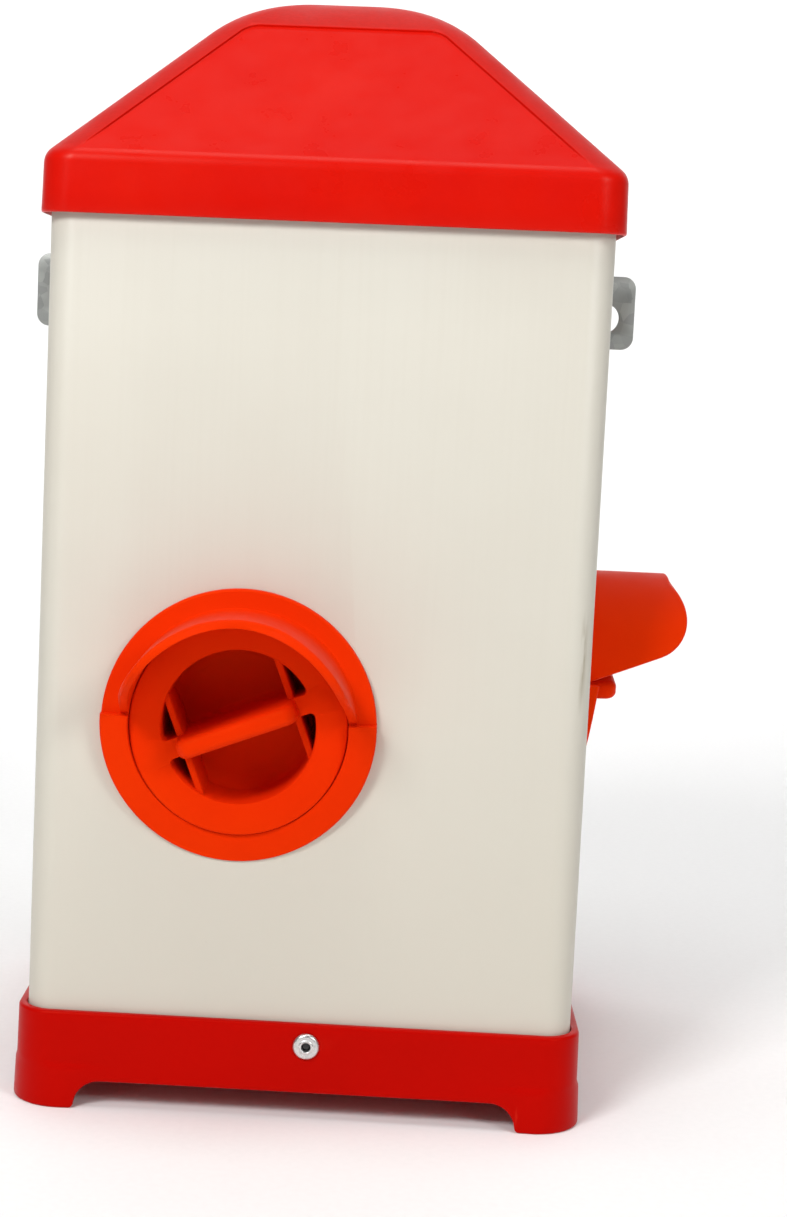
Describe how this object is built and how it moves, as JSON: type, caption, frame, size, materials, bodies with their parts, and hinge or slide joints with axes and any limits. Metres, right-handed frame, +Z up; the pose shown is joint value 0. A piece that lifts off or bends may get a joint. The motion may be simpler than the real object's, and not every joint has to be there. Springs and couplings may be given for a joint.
{
  "type": "gravity poultry feeder",
  "caption": "Square feed hopper for poultry with a lift-off hipped roof, hooded feed ports closed by pull-out grip plugs, a footed base and a strap that hangs it on a wall.",
  "frame": {"origin": "centre of the whole feeder's footprint box, on the plane that the feet stand on", "axes": "+Z up along the hopper; -Y is the front with its port, +X the side with the other port, +Y the back with the hanging strap"},
  "size_m": [0.2332, 0.208, 0.3462],
  "materials": {
    "cream_plastic": "satin",
    "red_lid_plastic": "satin",
    "red_base_plastic": "satin",
    "orange_port_plastic": "satin",
    "black_rubber": "matte",
    "rivet_aluminium": "satin",
    "mandrel_steel": "dull",
    "galvanised_steel": "dull"
  },
  "bodies": {
    "feeder_body": {"hopper_body": "cream_plastic", "base_pan": "red_base_plastic", "base_rivet_front": "rivet_aluminium", "base_rivet_right": "rivet_aluminium", "base_rivet_back": "rivet_aluminium", "base_rivet_left": "rivet_aluminium", "base_rivet_mandrel_front": "mandrel_steel", "base_rivet_mandrel_right": "mandrel_steel", "base_rivet_mandrel_back": "mandrel_steel", "base_rivet_mandrel_left": "mandrel_steel", "hanging_strap": "galvanised_steel", "strap_rivet_left": "rivet_aluminium", "strap_rivet_right": "rivet_aluminium", "strap_rivet_mandrel_left": "mandrel_steel", "strap_rivet_mandrel_right": "mandrel_steel", "strap_rivet_washer_left": "galvanised_steel", "strap_rivet_washer_right": "galvanised_steel", "front_port_hood": "orange_port_plastic", "front_port_gasket": "black_rubber", "front_lock_nut": "orange_port_plastic", "front_feed_guard": "orange_port_plastic", "side_port_hood": "orange_port_plastic", "side_port_gasket": "black_rubber", "side_lock_nut": "orange_port_plastic", "side_feed_guard": "orange_port_plastic"},
    "lid": {"roof_lid": "red_lid_plastic"},
    "front_plug_carrier": {"front_plug_seal": "black_rubber"},
    "front_plug_turning": {"front_plug": "orange_port_plastic"},
    "side_plug_carrier": {"side_plug_seal": "black_rubber"},
    "side_plug_turning": {"side_plug": "orange_port_plastic"}
  },
  "joints": [
    {"name": "lid_lift", "type": "slide", "parent": "feeder_body", "child": "lid", "axis": [0, 0, 1], "range_m": [0, 0.12]},
    {"name": "front_plug_pull", "type": "slide", "parent": "feeder_body", "child": "front_plug_carrier", "axis": [0, -1, 0], "range_m": [0, 0.07]},
    {"name": "front_plug_turn", "type": "hinge", "parent": "front_plug_carrier", "child": "front_plug_turning", "pos_m": [-0.02413, -0.06903, 0.1214], "axis": [0, -1, 0], "continuous": true},
    {"name": "side_plug_pull", "type": "slide", "parent": "feeder_body", "child": "side_plug_carrier", "axis": [1, 0, 0], "range_m": [0, 0.07]},
    {"name": "side_plug_turn", "type": "hinge", "parent": "side_plug_carrier", "child": "side_plug_turning", "pos_m": [0.08163, 0.01523, 0.1298], "axis": [1, 0, 0], "continuous": true}
  ]
}
